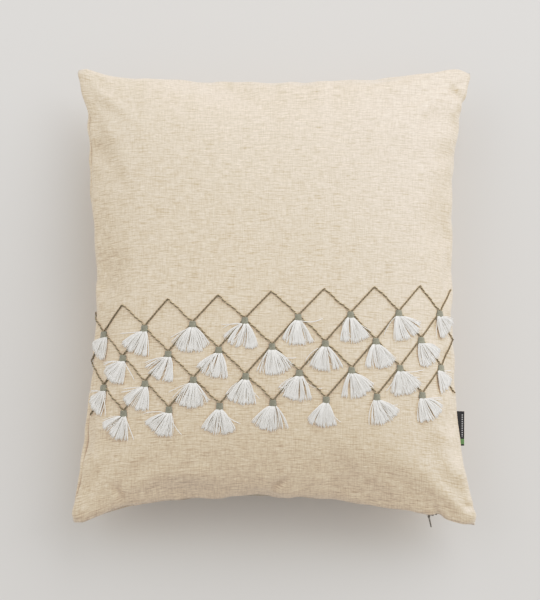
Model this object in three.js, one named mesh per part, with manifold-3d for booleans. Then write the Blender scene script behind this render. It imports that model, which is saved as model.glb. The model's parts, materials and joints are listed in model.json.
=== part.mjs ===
// Throw pillow lying on its back: a woven two-panel cover with a zip, a filled insert,
// four zigzag rows of stitched cord and thirty yarn tassels. Millimetres, +Z up.
// The front panel faces +Z, the zipped edge faces -Y and the flat of the back rests on z = 0.
import * as THREE from 'three';
import { mergeVertices } from 'three/addons/utils/BufferGeometryUtils.js';
import Module from 'manifold-3d';

const wasm = await Module();
wasm.setup();

// Cover: outline half sizes at the corners, how far each edge bows in between them,
// and the height of each side above or below the seam. `fullness` and `roundness` shape the dome,
// and `topFlare` keeps the side edges straight for longer above the middle.
const cover = {
  halfWidth: 219, halfHeight: 252, sideBow: 23, topBow: 17.5, zipBow: 25.5,
  crown: 78, belly: 76, seamHeight: 62, earDrop: 12, cloth: 1.2, cells: 16,
  fullness: 2.4, roundness: 0.47, topFlare: 3.4,
};
const touch = 0.3;      // clearance left between pieces that touch in the real pillow

// Insert: a smaller cushion inside the cover.
const insert = { inset: 15, clearance: 2.3, cloth: 0.6, cells: 16 };

// Embroidery: a net of zigzag rows, tilted across the panel. `pinch` narrows the cells toward
// the sides, where the panel curves down, `skew` shifts each row sideways from the one above,
// and `firstRise` shortens the net's open peaks.
const net = {
  rows: 4, pitch: 56.5, pinch: 0.4, offset: -3, firstRow: -40.9, rowStep: 29.3,
  tilt: 0.0795, skew: 1.05, firstRise: 0.91, rowReach: 4.0, stepsPerLeg: 5,
  cordWidth: 2.2, cordHeight: 1.0, cordLift: 0.8, crossLift: 1.25, crossReach: 9,
};
const bar = { width: 7.2, topWidth: 5.8, length: 5.6, height: 2.1 };

// Tassels: each root is rounded about its hinge line, just below its satin-stitched bar. On the
// pillow's sides a fan leans outward by `lean` and is narrower by the share `sideNarrowing`.
const tassel = {
  length: 25, rootRadius: 1.1, rootHalfWidth: 3.1, tipHalfWidth: 16, thickness: 3.2,
  gap: 0.35, tipLift: 2.05, lean: 0.42, sideNarrowing: 0.35, edgeThinning: 0.35, tipCurve: 0.12,
};

// Zip: it follows the bowed bottom seam, which is an arc about a far centre line.
// `depth` values are measured into the pillow from the seam line.
const zip = {
  radius: cover.halfWidth ** 2 / (2 * cover.zipBow), seamY: cover.zipBow - cover.halfHeight,
  left: -180, right: 176.1, sliderX: 171.3, openingHalf: 3.4, openingDepth: 4.2,
  coil: { depth: 2.2, thickness: 2.4, inner: 0.8, outer: 2.2 },
  tape: { depth: 5.0, thickness: 0.6, inner: 1.1, outer: 4.6, fold: 13 },
};
const slider = { length: 9, halfHeight: 3, outerDepth: 0.6, innerDepth: 6, plate: 1.2, post: 0.9 };
const pull = { length: 11.5, thickness: 1.3, halfWidth: 1.7, pinRadius: 0.5, pinDepth: -1.3, swing: 24 };

const label = { fromY: -166, toY: -128.5, outerX: 209, innerX: 198, layer: 0.4, fold: 0.3 };

const linen = { color: 0xd9c9a8, roughness: 0.95, metalness: 0 };
const calico = { color: 0xeee9df, roughness: 0.95, metalness: 0 };
const wadding = { color: 0xf7f6f3, roughness: 1, metalness: 0 };
const oliveCord = { color: 0x86795b, roughness: 0.85, metalness: 0 };
const whiteYarn = { color: 0xefede8, roughness: 0.9, metalness: 0 };
const zipTape = { color: 0xcfc2a6, roughness: 0.9, metalness: 0 };
const nylon = { color: 0xc4b795, roughness: 0.5, metalness: 0 };
const gunmetal = { color: 0x4a443d, roughness: 0.35, metalness: 1 };
const blackWeave = { color: 0x161618, roughness: 0.8, metalness: 0 };

const part = new THREE.Group();

function add(name, geometry, surface) {
  const mesh = new THREE.Mesh(geometry, new THREE.MeshStandardMaterial(surface));
  mesh.name = name;
  part.add(mesh);
}

function solid(points, faces) {
  const geometry = new THREE.BufferGeometry();
  const positions = points.flatMap((point) => [point.x, point.y, point.z]);
  geometry.setAttribute('position', new THREE.Float32BufferAttribute(positions, 3));
  geometry.setIndex(faces.flat());
  return geometry;
}

function toManifold(geometry) {
  const bare = geometry.clone();
  bare.deleteAttribute('normal');
  bare.deleteAttribute('uv');
  const welded = mergeVertices(bare, 1e-5);
  return new wasm.Manifold(new wasm.Mesh({
    numProp: 3,
    vertProperties: new Float32Array(welded.attributes.position.array),
    triVerts: new Uint32Array(welded.index.array),
  }));
}

function toGeometry(manifold) {
  const mesh = manifold.getMesh();
  const geometry = new THREE.BufferGeometry();
  geometry.setAttribute('position', new THREE.BufferAttribute(mesh.vertProperties, 3));
  geometry.setIndex(new THREE.BufferAttribute(mesh.triVerts, 1));
  return geometry;
}

function join(geometries) {
  return toGeometry(geometries.map(toManifold).reduce((whole, piece) => whole.add(piece)));
}

function cut(geometry, tools) {
  return toGeometry(tools.map(toManifold).reduce((left, tool) => left.subtract(tool), toManifold(geometry)));
}

// A closed body between two grids of points, upper(i, j) and lower(i, j), i to the right and j away.
function slab(columns, rows, upper, lower) {
  const points = [];
  for (const side of [upper, lower]) {
    for (let j = 0; j <= rows; j++) {
      for (let i = 0; i <= columns; i++) points.push(side(i, j));
    }
  }
  const top = (i, j) => j * (columns + 1) + i;
  const bottom = (i, j) => top(i, j) + (columns + 1) * (rows + 1);
  const faces = [];
  const quad = (a, b, c, d) => faces.push([a, b, c], [a, c, d]);
  for (let j = 0; j < rows; j++) {
    for (let i = 0; i < columns; i++) {
      quad(top(i, j), top(i + 1, j), top(i + 1, j + 1), top(i, j + 1));
      quad(bottom(i, j), bottom(i, j + 1), bottom(i + 1, j + 1), bottom(i + 1, j));
    }
  }
  for (let i = 0; i < columns; i++) {
    quad(bottom(i, 0), bottom(i + 1, 0), top(i + 1, 0), top(i, 0));
    quad(bottom(i + 1, rows), bottom(i, rows), top(i, rows), top(i + 1, rows));
  }
  for (let j = 0; j < rows; j++) {
    quad(bottom(columns, j), bottom(columns, j + 1), top(columns, j + 1), top(columns, j));
    quad(bottom(0, j + 1), bottom(0, j), top(0, j), top(0, j + 1));
  }
  return solid(points, faces);
}

// Where a point of the cover lies in plan; s and t run from -1 to 1 across and up the cover.
function plan(s, t, inset) {
  const bow = t > 0 ? cover.topBow : cover.zipBow;
  const flare = t > 0 ? cover.topFlare : 2;
  return {
    x: s * (cover.halfWidth - inset - cover.sideBow * (1 - Math.abs(t) ** flare)),
    y: t * (cover.halfHeight - inset - bow * (1 - s * s)),
  };
}

// The seam runs level, except that the four corner ears droop.
function seamHeight(x, y) {
  const corner = Math.abs(x * y) / (cover.halfWidth * cover.halfHeight);
  return cover.seamHeight - cover.earDrop * corner ** 10;
}

function dome(s, t) {
  const across = 1 - Math.abs(s) ** cover.fullness;
  const along = 1 - Math.abs(t) ** cover.fullness;
  return Math.max(0, across * along) ** cover.roundness;
}

// Front (side = 1) or back (side = -1) face of a cushion, moved in by `inset` in plan and by
// `depth` in height. The back is flattened where the pillow lies on it.
function cushionFace(side, inset, depth, seamGap, cells) {
  const reach = side > 0 ? cover.crown : cover.belly;
  return (i, j) => {
    const s = Math.sin((i / cells - 0.5) * Math.PI);
    const t = Math.sin((j / cells - 0.5) * Math.PI);
    const { x, y } = plan(s, t, inset);
    const z = seamHeight(x, y) + side * (seamGap + (reach - depth) * dome(s, t));
    return new THREE.Vector3(x, y, Math.max(z, depth));
  };
}

function cushionShell(side, inset, depth, cloth, cells) {
  const outer = cushionFace(side, inset, depth, touch / 2, cells);
  const inner = cushionFace(side, inset + cloth, depth + cloth, touch / 2, cells);
  const [upper, lower] = side > 0 ? [outer, inner] : [inner, outer];
  return slab(cells, cells, upper, lower);
}

// A bar bent along the zip's arc, between two depths, two heights and two x positions.
function zipArc(depths, heights, fromX, toX, steps) {
  const centreY = zip.seamY - zip.radius;
  const at = (i, depth, height) => {
    const angle = THREE.MathUtils.lerp(Math.asin(fromX / zip.radius), Math.asin(toX / zip.radius), i / steps);
    const reach = zip.radius + depth;
    const x = reach * Math.sin(angle);
    return new THREE.Vector3(x, centreY + reach * Math.cos(angle), cover.seamHeight + height);
  };
  return slab(steps, 1, (i, j) => at(i, depths[j], heights[1]), (i, j) => at(i, depths[j], heights[0]));
}

function zipOpening() {
  return zipArc([-3, zip.openingDepth], [-zip.openingHalf, zip.openingHalf], zip.left - 4, zip.right + 4, 12);
}

function boxBetween(low, high) {
  const size = high.map((value, axis) => value - low[axis]);
  const middle = high.map((value, axis) => (value + low[axis]) / 2);
  return new THREE.BoxGeometry(...size).translate(...middle);
}

function labelSlot() {
  const half = label.layer + label.fold / 2 + touch;
  return boxBetween(
    [label.innerX - 1, label.fromY - 0.4, cover.seamHeight - half],
    [label.outerX + 1, label.toY + 0.4, cover.seamHeight + half],
  );
}

function addCover() {
  const openings = [zipOpening(), labelSlot()];
  const front = cushionShell(1, 0, 0, cover.cloth, cover.cells);
  const back = cushionShell(-1, 0, 0, cover.cloth, cover.cells);
  add('front_panel', cut(front, openings), linen);
  add('back_panel', cut(back, openings), linen);
}

function addInsert() {
  const { inset, clearance, cloth, cells } = insert;
  add('insert_front_case', cushionShell(1, inset, clearance, cloth, cells), calico);
  add('insert_back_case', cushionShell(-1, inset, clearance, cloth, cells), calico);
  const fillInset = inset + cloth + touch;
  const fillDepth = clearance + cloth + touch;
  const upper = cushionFace(1, fillInset, fillDepth, touch / 6, cells);
  const lower = cushionFace(-1, fillInset, fillDepth, touch / 6, cells);
  add('filling', slab(cells, cells, upper, lower), wadding);
}

// The front face at a turn `around` from the crown line (a quarter turn is the side seam).
function frontPoint(around, y) {
  const s = Math.sin(around);
  const t = y / (cover.halfHeight - cover.zipBow * (1 - s * s));
  const x = s * (cover.halfWidth - cover.sideBow * (1 - t * t));
  const rise = Math.sign(Math.cos(around)) * cover.crown * dome(s, t);
  return new THREE.Vector3(x, y, cover.seamHeight + rise);
}

// Local directions of the front face: across, and out of the cloth.
function frontFrame(around, y) {
  const origin = frontPoint(around, y);
  const across = frontPoint(around + 1e-3, y).sub(frontPoint(around - 1e-3, y)).normalize();
  const along = frontPoint(around, y + 0.5).sub(frontPoint(around, y - 0.5)).normalize();
  return { origin, across, out: across.clone().cross(along).normalize() };
}

function raised(around, y, lift) {
  const { origin, out } = frontFrame(around, y);
  return origin.addScaledVector(out, lift);
}

// The turn at which the front face passes over a given x.
function turnAt(x, y) {
  let s = 0;
  for (let pass = 0; pass < 8; pass++) {
    const t = y / (cover.halfHeight - cover.zipBow * (1 - s * s));
    s = THREE.MathUtils.clamp(x / (cover.halfWidth - cover.sideBow * (1 - t * t)), -0.998, 0.998);
  }
  return Math.asin(s);
}

// A shift of `distance` across the cloth, as a change of turn.
function turnFor(distance, around, y) {
  const span = frontPoint(around + 0.01, y).distanceTo(frontPoint(around - 0.01, y)) / 0.02;
  return distance / span;
}

// A point of the net: `cell` counts cells across from its middle line, `drop` rows down.
function netPoint(cell, drop) {
  const x = net.offset + net.pitch * cell - net.pinch * cell ** 3 + net.skew * drop;
  const fall = net.rowStep * (drop < 0 ? net.firstRise * drop : drop);
  return { x, y: net.firstRow + bar.length / 2 - fall + net.tilt * x };
}

// Odd rows hang their bars on half cells, even rows on whole cells.
function barCells(row) {
  const count = row % 2 === 0 ? 8 : 7;
  return Array.from({ length: count }, (_, k) => k - (count - 1) / 2);
}

// Height of a row's cord above the cloth: it steps over the row below near each bar.
function cordLift(distanceToBar) {
  const near = THREE.MathUtils.smoothstep(net.crossReach - distanceToBar, 0, net.crossReach * 0.6);
  return net.cordLift + net.crossLift * near;
}

// The stops of one zigzag, left to right, each with its distance along the cord to the nearest bar.
function zigzag(row) {
  const phase = row % 2 === 0 ? 0 : 0.5;
  const total = Math.round(net.rowReach * 2 * 2 * net.stepsPerLeg);
  const stops = [];
  for (let k = 0; k <= total; k++) {
    const cell = -net.rowReach + (2 * net.rowReach * k) / total;
    const fromPeak = Math.abs(((cell + phase + 100.5) % 1) - 0.5) * 2;
    const { x, y } = netPoint(cell, row - 1 + fromPeak);
    stops.push({ x, y, toBar: (1 - fromPeak) * Math.hypot(net.rowStep, net.pitch / 2) });
  }
  return stops;
}

function cordGeometry(row) {
  const stops = zigzag(row);
  const half = net.cordWidth / 2;
  const edge = (k, side, layer) => {
    const before = stops[Math.max(k - 1, 0)];
    const after = stops[Math.min(k + 1, stops.length - 1)];
    const here = stops[k];
    const direction = new THREE.Vector2(after.x - before.x, after.y - before.y).normalize();
    const around = turnAt(here.x - direction.y * half * side, here.y);
    return raised(around, here.y + direction.x * half * side, cordLift(here.toBar) + layer * net.cordHeight);
  };
  return slab(stops.length - 1, 1, (k, j) => edge(k, 2 * j - 1, 1), (k, j) => edge(k, 2 * j - 1, 0));
}

function barGeometry(cell, row) {
  const { x, y } = netPoint(cell, row);
  const around = turnAt(x, y);
  const lift = net.cordLift + net.crossLift;
  const corner = (i, j, layer) => {
    const width = THREE.MathUtils.lerp(bar.width, bar.topWidth, j / 2);
    const rise = layer * bar.height * (i === 1 || i === 2 ? 1 : 0.6);
    const across = turnFor((i / 3 - 0.5) * width, around, y);
    return raised(around + across, y - bar.length * (1 - j / 2), lift + rise);
  };
  return slab(3, 2, (i, j) => corner(i, j, 1), (i, j) => corner(i, j, 0));
}

// A fan of yarn that follows the cloth and leans outward on the pillow's sides.
function tasselGeometry(cell, row) {
  const { x, y } = netPoint(cell, row);
  const around = turnAt(x, y);
  const rootY = y - bar.length - tassel.gap - tassel.rootRadius;
  const rootLift = net.cordLift + net.crossLift + tassel.rootRadius;
  const steepness = Math.sin(around);
  const tip = tassel.tipHalfWidth * (1 - tassel.sideNarrowing * Math.abs(steepness));
  const stations = [-tassel.length, -14, -6, 0, 0.7 * tassel.rootRadius, tassel.rootRadius];
  const corner = (i, j, layer) => {
    const distance = stations[j];
    const spread = Math.min(1, Math.max(0, -distance) / tassel.length);
    const half = THREE.MathUtils.lerp(tassel.rootHalfWidth, tip, spread);
    const side = (i / 4 - 0.5) * 2;
    const across = side * half - Math.min(distance, 0) * tassel.lean * steepness;
    const sag = Math.min(1, spread * 3) * (rootLift - tassel.rootRadius - tassel.tipLift);
    const body = THREE.MathUtils.lerp(2 * tassel.rootRadius, tassel.thickness, Math.sin(spread * Math.PI));
    const rounding = distance > 0 ? 0.7 : 1;
    const flatten = 1 - tassel.edgeThinning * side * side * Math.min(1, spread * 4);
    const middle = rootLift - sag + (body - 2 * tassel.rootRadius) / 2;
    const lift = middle + (layer - 0.5) * body * rounding * flatten;
    const bend = side * side * half * tassel.tipCurve * spread;
    return raised(around + turnFor(across, around, y), rootY + distance + bend, lift);
  };
  return slab(4, stations.length - 1, (i, j) => corner(i, j, 1), (i, j) => corner(i, j, 0));
}

function addEmbroidery() {
  for (let row = 1; row <= net.rows; row++) {
    const cells = barCells(row - 1);
    const bars = cells.map((cell) => barGeometry(cell, row - 1));
    add(`embroidery_row_${row}`, join([cordGeometry(row - 1), ...bars]), oliveCord);
    cells.forEach((cell, k) => add(`tassel_${row}_${k + 1}`, tasselGeometry(cell, row - 1), whiteYarn));
  }
}

function addZip() {
  const { coil, tape, left, right } = zip;
  for (const [name, side] of [['front', 1], ['back', -1]]) {
    const span = (inner, outer) => [side * inner, side * outer].sort((a, b) => a - b);
    const upright = [tape.depth, tape.depth + tape.thickness];
    const folded = [tape.depth, tape.fold];
    const coilDepths = [coil.depth, coil.depth + coil.thickness];
    add(`zip_tape_${name}`, join([
      zipArc(upright, span(tape.inner, tape.outer), left - 6, right + 6, 20),
      zipArc(folded, span(tape.outer - tape.thickness, tape.outer), left - 6, right + 6, 20),
    ]), zipTape);
    add(`zip_coil_${name}`, zipArc(coilDepths, span(coil.inner, coil.outer), left, right, 20), nylon);
  }
  const stopDepths = [coil.depth, coil.depth + coil.thickness];
  const stopHeights = [-coil.outer, coil.outer];
  add('zip_top_stop', zipArc(stopDepths, stopHeights, right + touch, right + 3, 1), gunmetal);
  add('zip_bottom_stop', zipArc(stopDepths, stopHeights, left - 3, left - touch, 1), gunmetal);
}

// Slider: two plates either side of the coils, a post between them, and a pin for the pull
// held by two lugs. It is drawn on the zip's centre line, then turned along the arc.
function sliderGeometry() {
  const half = slider.length / 2;
  const plate = (depth) => boxBetween(
    [-half, depth, -slider.halfHeight],
    [half, depth + slider.plate, slider.halfHeight],
  );
  const post = boxBetween(
    [half - 2.5, slider.outerDepth + 0.5, -slider.post / 2],
    [half - 0.8, slider.innerDepth + 0.5, slider.post / 2],
  );
  const lugs = [-1, 1].map((side) => boxBetween(
    [-1.1, pull.pinDepth - 0.8, side * 2.4 - 0.35],
    [1.1, slider.outerDepth + 0.4, side * 2.4 + 0.35],
  ));
  const pin = new THREE.CylinderGeometry(pull.pinRadius, pull.pinRadius, 4.8, 12)
    .rotateX(Math.PI / 2).translate(0, pull.pinDepth, 0);
  return join([plate(slider.outerDepth), plate(slider.innerDepth), post, ...lugs, pin]);
}

function pullGeometry() {
  const shape = new THREE.Shape();
  const half = pull.thickness / 2;
  shape.absarc(0, 0, half + 0.35, 0, Math.PI, false);
  shape.lineTo(-half, -2);
  shape.lineTo(-half, -pull.length + half);
  shape.absarc(0, -pull.length + half, half, Math.PI, 2 * Math.PI, false);
  shape.lineTo(half, -2);
  const eye = new THREE.Path();
  eye.absarc(0, 0, pull.pinRadius + 0.15, 0, 2 * Math.PI, true);
  shape.holes.push(eye);
  const options = { depth: 2 * pull.halfWidth, bevelEnabled: false, curveSegments: 8 };
  return new THREE.ExtrudeGeometry(shape, options)
    .translate(0, 0, -pull.halfWidth)
    .rotateZ(THREE.MathUtils.degToRad(pull.swing));
}

function onZip(geometry) {
  const angle = Math.asin(zip.sliderX / zip.radius);
  return geometry
    .translate(0, zip.radius, 0)
    .rotateZ(-angle)
    .translate(0, zip.seamY - zip.radius, cover.seamHeight);
}

function labelGeometry() {
  const { outerX, innerX, layer, fold } = label;
  const outer = layer + fold / 2;
  const bend = outerX - outer;
  const shape = new THREE.Shape();
  shape.moveTo(innerX, -outer);
  shape.lineTo(bend, -outer);
  shape.absarc(bend, 0, outer, -Math.PI / 2, Math.PI / 2, false);
  shape.lineTo(innerX, outer);
  shape.lineTo(innerX, fold / 2);
  shape.lineTo(bend, fold / 2);
  shape.absarc(bend, 0, fold / 2, Math.PI / 2, -Math.PI / 2, true);
  shape.lineTo(innerX, -fold / 2);
  const options = { depth: label.toY - label.fromY, bevelEnabled: false, curveSegments: 4 };
  return new THREE.ExtrudeGeometry(shape, options)
    .rotateX(Math.PI / 2)
    .translate(0, label.toY, cover.seamHeight);
}

addCover();
addInsert();
addEmbroidery();
addZip();
add('zip_slider', onZip(sliderGeometry()), gunmetal);
add('zip_pull', onZip(pullGeometry().translate(0, pull.pinDepth, 0)), gunmetal);
add('side_label', labelGeometry(), blackWeave);

export default part;
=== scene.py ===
"""Throw pillow on a pale floor: a linen cover with puckered seams, a net of twisted cord with
satin-stitched bars, thirty yarn tassels, a side label and a zip along the bottom seam.

Lengths are in metres, in the CAD model's frame: +Z up, the pillow's front faces up, the zipped
edge faces -Y and the flat of the back rests on z = 0.
"""

import json
import math

import bpy
import numpy as np
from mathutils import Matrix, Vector
from mathutils.bvhtree import BVHTree


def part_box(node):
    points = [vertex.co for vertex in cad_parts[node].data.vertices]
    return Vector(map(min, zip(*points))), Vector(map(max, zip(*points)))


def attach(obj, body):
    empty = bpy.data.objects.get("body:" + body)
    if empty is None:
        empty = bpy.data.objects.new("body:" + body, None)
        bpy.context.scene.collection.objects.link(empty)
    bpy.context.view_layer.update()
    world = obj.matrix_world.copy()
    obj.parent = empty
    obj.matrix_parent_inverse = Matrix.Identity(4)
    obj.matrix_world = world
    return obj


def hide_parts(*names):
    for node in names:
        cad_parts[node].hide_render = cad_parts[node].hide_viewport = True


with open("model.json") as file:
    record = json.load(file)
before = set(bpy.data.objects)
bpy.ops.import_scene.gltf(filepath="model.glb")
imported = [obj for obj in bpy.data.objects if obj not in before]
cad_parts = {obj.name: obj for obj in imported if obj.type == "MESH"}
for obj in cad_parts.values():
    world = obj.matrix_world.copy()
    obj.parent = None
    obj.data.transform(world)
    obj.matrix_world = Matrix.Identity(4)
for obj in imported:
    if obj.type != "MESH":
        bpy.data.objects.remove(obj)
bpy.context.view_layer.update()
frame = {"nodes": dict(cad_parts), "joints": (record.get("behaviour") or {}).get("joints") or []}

# Cover, as the CAD model has it: outline half sizes at the corners, the bow of each edge,
# and the height of each face from the seam.
HALF_WIDTH, HALF_HEIGHT = 0.219, 0.252
SIDE_BOW, TOP_BOW, ZIP_BOW = 0.023, 0.0175, 0.0255
TOP_FLARE = 3.4
CROWN, BELLY, SEAM_HEIGHT, EAR_DROP = 0.078, 0.076, 0.062, 0.012
FULLNESS, ROUNDNESS = 2.4, 0.47
CLOTH_THICKNESS = 0.00084
REST_GAP, FLAT_BLEND = 0.0006, 0.004    # gap over the floor, and how softly the back goes flat

# Cloth simulation of the cover: two flat panels sewn round the edge and blown up.
COLUMNS, ROWS = 90, 104
PANEL_HALF_WIDTH, PANEL_HALF_HEIGHT = 0.222, 0.254
START_HEIGHT = 0.04
PRESSURE, PRESSURE_FALLOFF, SIM_FRAMES = 2.5, 0.9, 38
CALM = 0.85             # how far the middle of a panel keeps to a smooth crown
EAR_REACH = 0.036       # how far the corners reach out, to make up for their smoothing
SEAM_ROLL, ROLL_CELLS = 0.010, 14
GATHER, GATHER_REACH = 0.0014, 0.022

# How the filled cover lies: its top leans to one side, its lower corners to the other, its edges
# stand or sink in places (place along the edge, reach, amount), the corners are blunt, and a few
# creases run in from the seams (x, y, heading in degrees, half length, half width, depth).
TOP_LEAN, EAR_LEAN, EAR_SAG = -0.0058, 0.004, 0.0055
RIPPLE, RIPPLE_REACH = 0.00025, 0.012
TOP_RISES = ((-0.178, 0.038, -0.0075), (-0.100, 0.050, -0.0030), (0.170, 0.090, 0.0038))
LEFT_DRAWS = ((0.080, 0.055, -0.0048), (0.196, 0.010, 0.0018))
ZIP_DRAWS = ((-0.110, 0.014, 0.0016), (-0.020, 0.016, 0.0030), (0.068, 0.018, 0.0026))
CORNER_CUT, CORNER_KEEP = 0.015, 0.5
CREASES = (
    (0.007, -0.2145, 40, 0.011, 0.0042, 0.0042),
    (-0.163, -0.2265, 120, 0.009, 0.0060, 0.0044),
    (0.178, -0.241, 120, 0.008, 0.0050, 0.0040),
    (0.211, -0.232, 160, 0.006, 0.0048, 0.0034),
    (-0.190, 0.205, -25, 0.022, 0.0120, 0.0034),
    (0.201, 0.221, -45, 0.013, 0.0055, 0.0044),
)

# Seam: how far the cover's border is pulled in, how far its two cloths stand apart there, how far
# they gape and fold in along the zip, and where they gape more, at the end of the slider's run.
SEAM_PULL, SEAM_GAP, ZIP_GAPE, ZIP_FOLD = 0.0018, 0.0002, 0.0017, 0.0012
LIP_RISES = ((-0.166, 0.014, 0.0014),)

# Insert: the case's size as a share of the cover's, how much more its corners are drawn in, and
# the filling's size as a share of the case's.
CASE_SHARES, CASE_CORNER, FILLING_SHARE = (0.930, 0.937, 0.958), 0.15, 0.99
CASE_THICKNESS, CASE_GAP = 0.0006, 0.0002

# Embroidery net, as the CAD model has it.
NET_ROWS, NET_PITCH, NET_PINCH, NET_OFFSET = 4, 0.0565, 0.0004, -0.003
NET_FIRST_ROW, NET_ROW_STEP, NET_TILT, NET_REACH = -0.0409, 0.0293, 0.0795, 4.0
NET_SKEW, NET_FIRST_RISE = 0.00105, 0.91
BAR_LENGTH, BAR_WIDTH, BAR_TOP_WIDTH = 0.0056, 0.0072, 0.0058
OUTER_BAR, END_PULL = 3.5, 0.009      # past the outer bars, how far the cords are pulled in

# Stitching: two strands twisted into each cord, which rises where it goes under a bar, and the
# threads laid across each bar.
CORD_STRAND, CORD_TWIST, CORD_PITCH, CORD_SIDES = 0.00055, 0.00050, 0.0066, 6
CORD_WANDER, CORD_LIFT, BAR_CLIMB = 0.00025, 0.0008, 0.0009
LEG_STEPS, LEG_LENGTH, CLIMB_LENGTH = 12, 0.041, 0.008
BAR_THREADS, BAR_THREAD, BAR_OVERHANG, BAR_ARCH = 10, 0.00052, 0.0004, 0.0023

# Tassels: the threads of each, how they part into locks, how the fan opens and rounds at its
# shoulders, how wide and how far down the threads leave the bar, and how the fans on the pillow's
# sides lean outward and hang straighter and flatter.
STRANDS, STRAND_POINTS, STRAND_RADIUS, STRAND_LENGTH = 126, 10, 0.00033, 0.0268
LOCKS, FAN_SPREAD, SHOULDER = 20, 0.58, 0.26
HEAD_HALF_WIDTH, ROOT_TUCK = 0.0035, 0.0010
SIDE_LEAN, STRAIGHTEN, SIDE_FLATTENING = 1.1, 0.9, 0.35

# Zip, as the CAD model has it: an arc about a far centre, with depths into the pillow.
ZIP_LEFT, ZIP_RIGHT = -0.180, 0.1761
ZIP_RADIUS = HALF_WIDTH**2 / (2 * ZIP_BOW)
ZIP_SEAM_Y = ZIP_BOW - HALF_HEIGHT
COIL_DEPTH = 0.0034


# --------------------------------------------------------------------------------------------
# Mesh helpers
# --------------------------------------------------------------------------------------------
def make_object(name, vertices, faces, material=None):
    """A smooth-shaded mesh object, linked to the scene."""
    mesh = bpy.data.meshes.new(name)
    mesh.from_pydata([tuple(v) for v in vertices], [], [tuple(int(i) for i in f) for f in faces])
    mesh.update()
    mesh.polygons.foreach_set("use_smooth", [True] * len(mesh.polygons))
    obj = bpy.data.objects.new(name, mesh)
    bpy.context.scene.collection.objects.link(obj)
    if material is not None:
        mesh.materials.append(material)
    return obj


def tubes(paths, radii, sides=6):
    """Vertices and faces of closed tubes along several paths; radii gives one radius a point."""
    vertices, faces = [], []
    turn = np.arange(sides) * 2 * math.pi / sides
    for path, radius in zip(paths, radii):
        path = np.asarray(path)
        tangents = np.gradient(path, axis=0)
        tangents /= np.linalg.norm(tangents, axis=1)[:, None] + 1e-12
        side = np.cross(tangents[0], (0.0, 0.0, 1.0))
        if np.linalg.norm(side) < 1e-3:
            side = np.cross(tangents[0], (0.0, 1.0, 0.0))
        first = sum(len(v) for v in vertices)
        rings = []
        for point, tangent, size in zip(path, tangents, radius):
            side = side - tangent * side.dot(tangent)
            side /= np.linalg.norm(side)
            up = np.cross(side, tangent)
            rings.append(point + size * (np.outer(np.cos(turn), side) + np.outer(np.sin(turn), up)))
        vertices.append(np.concatenate(rings))
        for ring in range(len(path) - 1):
            for k in range(sides):
                a, b = first + ring * sides + k, first + ring * sides + (k + 1) % sides
                faces.append((a, b, b + sides, a + sides))
        last = first + (len(path) - 1) * sides
        faces.append(tuple(first + k for k in reversed(range(sides))))
        faces.append(tuple(last + k for k in range(sides)))
    return np.concatenate(vertices), faces


def smooth_steps(x):
    """0 below 0, 1 above 1 and a smooth S between them."""
    x = np.clip(x, 0, 1)
    return x * x * (3 - 2 * x)


def blurred(values, sigma, axis):
    """Gaussian blur of an array along one axis, reflecting at its ends."""
    reach = int(3 * sigma)
    weights = np.exp(-0.5 * (np.arange(-reach, reach + 1) / sigma) ** 2)
    weights /= weights.sum()
    pad = [(0, 0)] * values.ndim
    pad[axis] = (reach, reach)
    padded = np.pad(values, pad, mode="reflect", reflect_type="odd")
    return np.apply_along_axis(lambda line: np.convolve(line, weights, "valid"), axis, padded)


# --------------------------------------------------------------------------------------------
# Materials
# --------------------------------------------------------------------------------------------
class Surface:
    """One procedural material, built node by node round a Principled shader."""

    def __init__(self, name, **sockets):
        self.material = bpy.data.materials.new(name)
        self.material.use_nodes = True
        self.tree = self.material.node_tree
        self.shader = self.tree.nodes["Principled BSDF"]
        for socket, value in sockets.items():
            self.shader.inputs[socket.replace("_", " ")].default_value = value

    def node(self, kind, inputs=None, **settings):
        """A new node; each input is a value to set or a socket to link."""
        node = self.tree.nodes.new(kind)
        for key, value in settings.items():
            setattr(node, key, value)
        for key, value in (inputs or {}).items():
            if isinstance(value, bpy.types.NodeSocket):
                self.tree.links.new(value, node.inputs[key])
            else:
                node.inputs[key].default_value = value
        return node

    def place(self, attribute=None):
        """Where a point is: on the object, or as an attribute of the mesh says."""
        if attribute:
            return self.node("ShaderNodeAttribute", attribute_name=attribute).outputs["Vector"]
        return self.node("ShaderNodeTexCoord").outputs["Object"]

    def noise(self, place, scales, detail=2.0, roughness=0.5, offset=(0, 0, 0)):
        """Noise whose grain is 1 / scale metres long in each direction."""
        moved = self.node("ShaderNodeMapping", {"Vector": place, "Scale": scales, "Location": offset})
        inputs = {"Vector": moved.outputs[0], "Scale": 1.0, "Detail": detail, "Roughness": roughness}
        return self.node("ShaderNodeTexNoise", inputs).outputs["Fac"]

    def between(self, value, low, high):
        """0 below low, 1 above high."""
        inputs = {"Value": value, "From Min": low, "From Max": high}
        return self.node("ShaderNodeMapRange", inputs, clamp=True).outputs[0]

    def within(self, value, low, high, edge=0.0002):
        """1 between low and high, 0 outside them."""
        above, below = self.between(value, low, low + edge), self.between(value, high, high - edge)
        return self.math("MULTIPLY", above, below)

    def math(self, operation, a, b=0.0):
        return self.node("ShaderNodeMath", {0: a, 1: b}, operation=operation).outputs[0]

    def mix(self, factor, a, b, blend="MIX"):
        """Colour a turned into b by a factor."""
        inputs = {"Factor": factor, 6: a, 7: b}
        return self.node("ShaderNodeMix", inputs, data_type="RGBA", blend_type=blend).outputs[2]

    def color(self, value):
        self.tree.links.new(value, self.shader.inputs["Base Color"])

    def bump(self, height, distance, strength=1.0):
        inputs = {"Height": height, "Distance": distance, "Strength": strength}
        bump = self.node("ShaderNodeBump", inputs)
        self.tree.links.new(bump.outputs[0], self.shader.inputs["Normal"])


def rgb(red, green, blue):
    """A colour with full opacity, in linear light."""
    return (red, green, blue, 1.0)


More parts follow.
